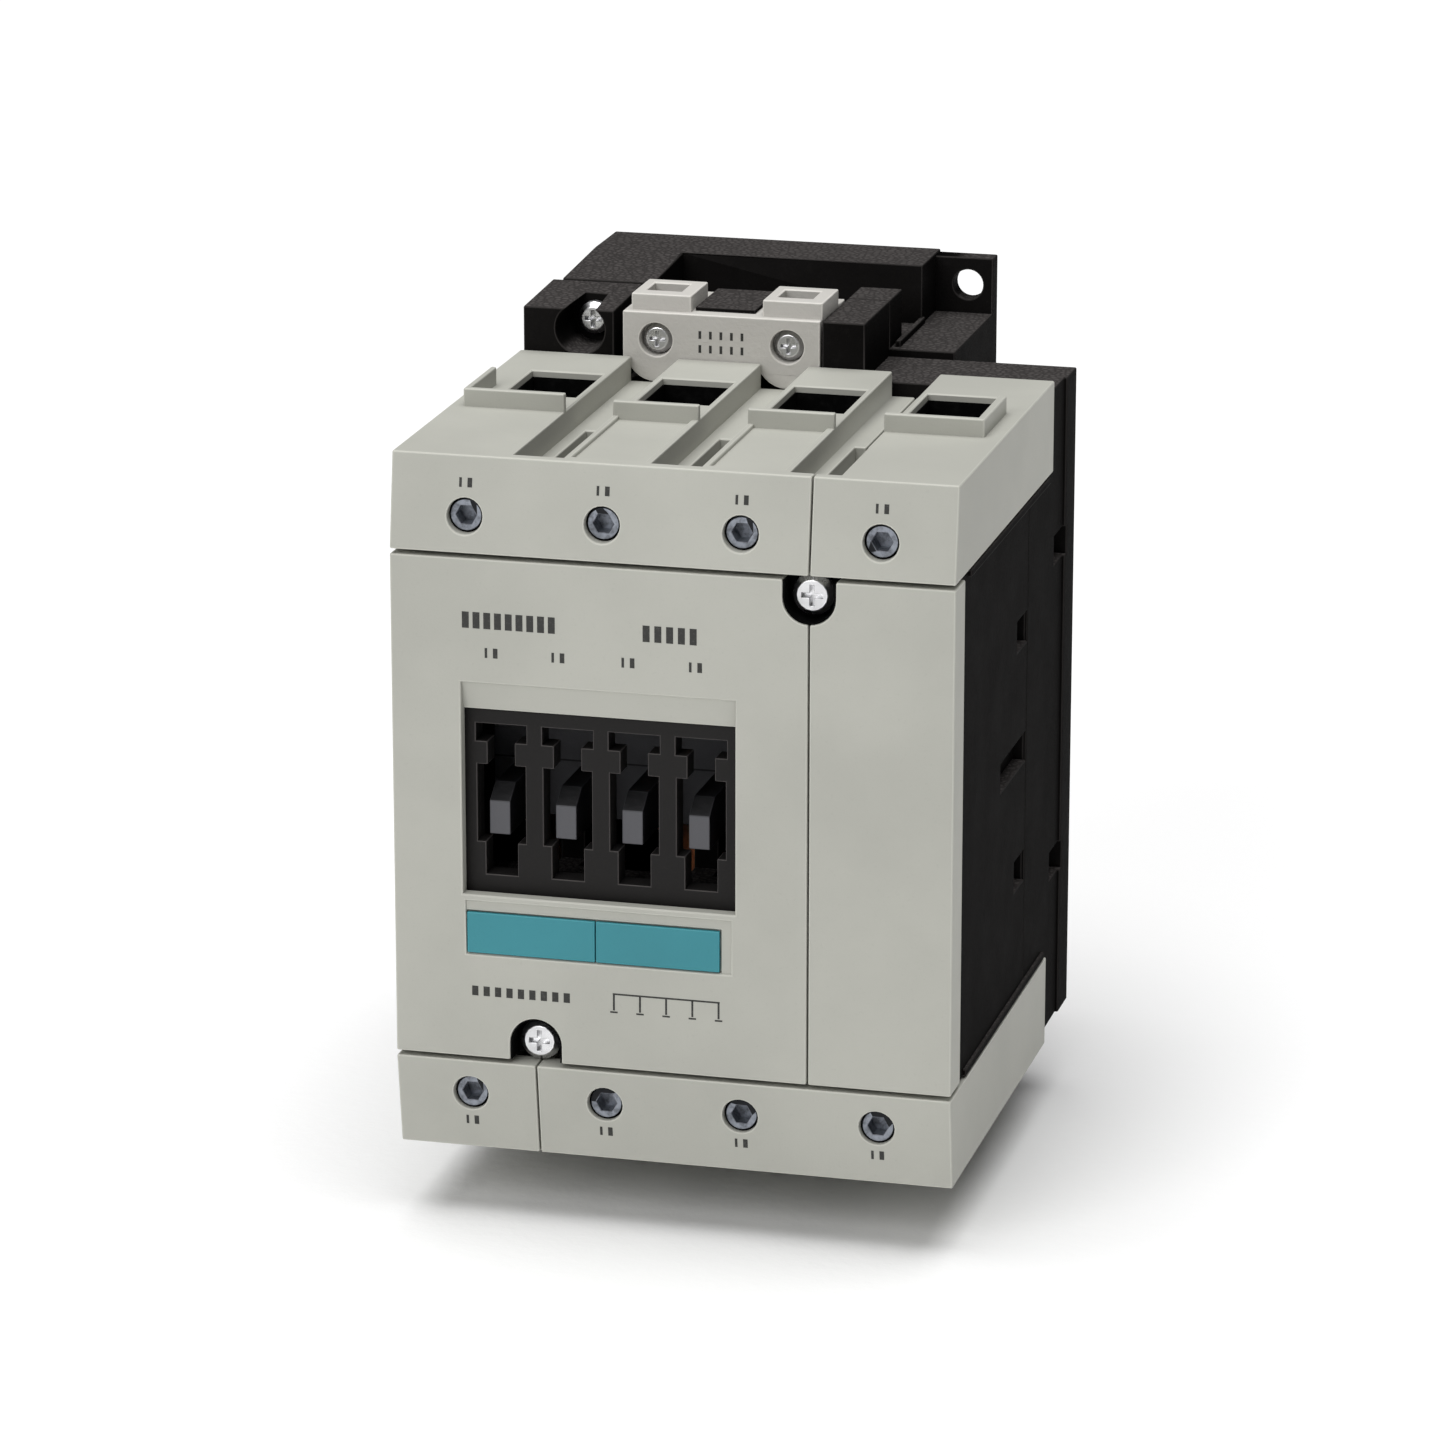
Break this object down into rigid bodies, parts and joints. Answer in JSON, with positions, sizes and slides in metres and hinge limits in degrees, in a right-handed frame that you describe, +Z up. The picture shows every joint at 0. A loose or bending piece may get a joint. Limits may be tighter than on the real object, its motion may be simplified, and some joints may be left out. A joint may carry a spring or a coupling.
{
  "type": "four-pole power contactor",
  "caption": "Four-pole power contactor with box terminals behind grey covers, a coil terminal block on top and a black rear magnet housing for panel or rail mounting.",
  "frame": {"origin": "middle of the rear mounting plane, halfway between the fixing holes", "axes": "+Z up, -Y out of the front face, +X to the right seen from the front"},
  "size_m": [0.0962, 0.134, 0.1444],
  "materials": {
    "grey_cover_plastic": "moulded satin grey with a fine grain",
    "black_housing_plastic": "moulded black with a fine grain",
    "black_plate_plastic": "moulded black, satin",
    "carrier_plastic": "moulded dark grey, satin",
    "label_turquoise": "moulded turquoise, satin",
    "light_block_plastic": "moulded light grey, matt",
    "winding_copper": "enamelled copper wire",
    "contact_copper": "drawn copper bar",
    "magnet_steel": "stacked steel sheets",
    "zinc_steel": "zinc plated",
    "dark_screw_steel": "dark passivated",
    "spring_steel": "drawn spring wire"
  },
  "bodies": {
    "housing": {"rear_housing": "black_housing_plastic", "contact_housing": "black_housing_plastic", "front_cover_main": "grey_cover_plastic", "front_cover_side": "grey_cover_plastic", "upper_terminal_cover_main": "grey_cover_plastic", "upper_terminal_cover_side": "grey_cover_plastic", "lower_terminal_cover_main": "grey_cover_plastic", "lower_terminal_cover_side": "grey_cover_plastic", "window_plate": "black_plate_plastic", "label_plate_left": "label_turquoise", "label_plate_right": "label_turquoise", "coil_terminal_block": "light_block_plastic", "coil_bobbin": "light_block_plastic", "coil_winding": "winding_copper", "magnet_yoke": "magnet_steel", "return_spring": "spring_steel", "rail_latch_spring": "spring_steel", "fixed_contact_1": "contact_copper", "fixed_contact_2": "contact_copper", "fixed_contact_3": "contact_copper", "fixed_contact_4": "contact_copper", "fixed_contact_5": "contact_copper", "fixed_contact_6": "contact_copper", "fixed_contact_7": "contact_copper", "fixed_contact_8": "contact_copper", "cover_screw_upper": "zinc_steel", "cover_screw_lower": "zinc_steel", "housing_screw_upper": "zinc_steel", "housing_screw_lower": "zinc_steel"},
    "contact_system": {"contact_carrier": "carrier_plastic", "armature": "magnet_steel", "contact_bridge_1": "contact_copper", "contact_bridge_2": "contact_copper", "contact_bridge_3": "contact_copper", "contact_bridge_4": "contact_copper", "contact_spring_1": "spring_steel", "contact_spring_2": "spring_steel", "contact_spring_3": "spring_steel", "contact_spring_4": "spring_steel"},
    "latch": {"rail_latch": "black_housing_plastic"},
    "main_screw_1": {"terminal_screw_1": "dark_screw_steel"},
    "main_screw_2": {"terminal_screw_2": "dark_screw_steel"},
    "main_screw_3": {"terminal_screw_3": "dark_screw_steel"},
    "main_screw_4": {"terminal_screw_4": "dark_screw_steel"},
    "main_screw_5": {"terminal_screw_5": "dark_screw_steel"},
    "main_screw_6": {"terminal_screw_6": "dark_screw_steel"},
    "main_screw_7": {"terminal_screw_7": "dark_screw_steel"},
    "main_screw_8": {"terminal_screw_8": "dark_screw_steel"},
    "main_clamp_1": {"terminal_clamp_1": "zinc_steel"},
    "main_clamp_2": {"terminal_clamp_2": "zinc_steel"},
    "main_clamp_3": {"terminal_clamp_3": "zinc_steel"},
    "main_clamp_4": {"terminal_clamp_4": "zinc_steel"},
    "main_clamp_5": {"terminal_clamp_5": "zinc_steel"},
    "main_clamp_6": {"terminal_clamp_6": "zinc_steel"},
    "main_clamp_7": {"terminal_clamp_7": "zinc_steel"},
    "main_clamp_8": {"terminal_clamp_8": "zinc_steel"},
    "coil_screw_1": {"coil_terminal_screw_1": "zinc_steel"},
    "coil_screw_2": {"coil_terminal_screw_2": "zinc_steel"},
    "coil_plate_1": {"coil_clamp_plate_1": "zinc_steel"},
    "coil_plate_2": {"coil_clamp_plate_2": "zinc_steel"}
  },
  "joints": [
    {"name": "contact_stroke", "type": "slide", "parent": "housing", "child": "contact_system", "axis": [0, 1, 0], "range_m": [0, 0.006], "stiffness_N_per_m": 900, "springref_m": -0.01, "deforming": ["return_spring"]},
    {"name": "rail_latch_slide", "type": "slide", "parent": "housing", "child": "latch", "axis": [0, 0, -1], "range_m": [0, 0.0045], "stiffness_N_per_m": 800, "springref_m": -0.003, "deforming": ["rail_latch_spring"]},
    {"name": "main_screw_1_turn", "type": "hinge", "parent": "housing", "child": "main_screw_1", "pos_m": [-0.02425, -0.129, 0.0504], "axis": [0, 1, 0], "range_deg": [0, 2160]},
    {"name": "main_screw_2_turn", "type": "hinge", "parent": "housing", "child": "main_screw_2", "pos_m": [-0.00075, -0.129, 0.0504], "axis": [0, 1, 0], "range_deg": [0, 2160]},
    {"name": "main_screw_3_turn", "type": "hinge", "parent": "housing", "child": "main_screw_3", "pos_m": [0.02275, -0.129, 0.0504], "axis": [0, 1, 0], "range_deg": [0, 2160]},
    {"name": "main_screw_4_turn", "type": "hinge", "parent": "housing", "child": "main_screw_4", "pos_m": [0.04625, -0.129, 0.0504], "axis": [0, 1, 0], "range_deg": [0, 2160]},
    {"name": "main_screw_5_turn", "type": "hinge", "parent": "housing", "child": "main_screw_5", "pos_m": [0.04625, -0.129, -0.0504], "axis": [0, 1, 0], "range_deg": [0, 2160]},
    {"name": "main_screw_6_turn", "type": "hinge", "parent": "housing", "child": "main_screw_6", "pos_m": [0.02275, -0.129, -0.0504], "axis": [0, 1, 0], "range_deg": [0, 2160]},
    {"name": "main_screw_7_turn", "type": "hinge", "parent": "housing", "child": "main_screw_7", "pos_m": [-0.00075, -0.129, -0.0504], "axis": [0, 1, 0], "range_deg": [0, 2160]},
    {"name": "main_screw_8_turn", "type": "hinge", "parent": "housing", "child": "main_screw_8", "pos_m": [-0.02425, -0.129, -0.0504], "axis": [0, 1, 0], "range_deg": [0, 2160]},
    {"name": "main_clamp_1_travel", "type": "slide", "parent": "housing", "child": "main_clamp_1", "axis": [0, -1, 0], "range_m": [0, 0.006]},
    {"name": "main_clamp_2_travel", "type": "slide", "parent": "housing", "child": "main_clamp_2", "axis": [0, -1, 0], "range_m": [0, 0.006]},
    {"name": "main_clamp_3_travel", "type": "slide", "parent": "housing", "child": "main_clamp_3", "axis": [0, -1, 0], "range_m": [0, 0.006]},
    {"name": "main_clamp_4_travel", "type": "slide", "parent": "housing", "child": "main_clamp_4", "axis": [0, -1, 0], "range_m": [0, 0.006]},
    {"name": "main_clamp_5_travel", "type": "slide", "parent": "housing", "child": "main_clamp_5", "axis": [0, -1, 0], "range_m": [0, 0.006]},
    {"name": "main_clamp_6_travel", "type": "slide", "parent": "housing", "child": "main_clamp_6", "axis": [0, -1, 0], "range_m": [0, 0.006]},
    {"name": "main_clamp_7_travel", "type": "slide", "parent": "housing", "child": "main_clamp_7", "axis": [0, -1, 0], "range_m": [0, 0.006]},
    {"name": "main_clamp_8_travel", "type": "slide", "parent": "housing", "child": "main_clamp_8", "axis": [0, -1, 0], "range_m": [0, 0.006]},
    {"name": "coil_screw_1_turn", "type": "hinge", "parent": "housing", "child": "coil_screw_1", "pos_m": [-0.0124, -0.054, 0.0636], "axis": [0, 1, 0], "range_deg": [0, 1440]},
    {"name": "coil_screw_2_turn", "type": "hinge", "parent": "housing", "child": "coil_screw_2", "pos_m": [0.0113, -0.054, 0.0636], "axis": [0, 1, 0], "range_deg": [0, 1440]},
    {"name": "coil_plate_1_travel", "type": "slide", "parent": "housing", "child": "coil_plate_1", "axis": [0, -1, 0], "range_m": [0, 0.0024]},
    {"name": "coil_plate_2_travel", "type": "slide", "parent": "housing", "child": "coil_plate_2", "axis": [0, -1, 0], "range_m": [0, 0.0024]}
  ],
  "couplings": [
    {"joint": "main_screw_1_turn", "follows": "main_clamp_1_travel", "rad_per_m": 6283.2},
    {"joint": "main_screw_2_turn", "follows": "main_clamp_2_travel", "rad_per_m": 6283.2},
    {"joint": "main_screw_3_turn", "follows": "main_clamp_3_travel", "rad_per_m": 6283.2},
    {"joint": "main_screw_4_turn", "follows": "main_clamp_4_travel", "rad_per_m": 6283.2},
    {"joint": "main_screw_5_turn", "follows": "main_clamp_5_travel", "rad_per_m": 6283.2},
    {"joint": "main_screw_6_turn", "follows": "main_clamp_6_travel", "rad_per_m": 6283.2},
    {"joint": "main_screw_7_turn", "follows": "main_clamp_7_travel", "rad_per_m": 6283.2},
    {"joint": "main_screw_8_turn", "follows": "main_clamp_8_travel", "rad_per_m": 6283.2},
    {"joint": "coil_screw_1_turn", "follows": "coil_plate_1_travel", "rad_per_m": 10472},
    {"joint": "coil_screw_2_turn", "follows": "coil_plate_2_travel", "rad_per_m": 10472}
  ]
}
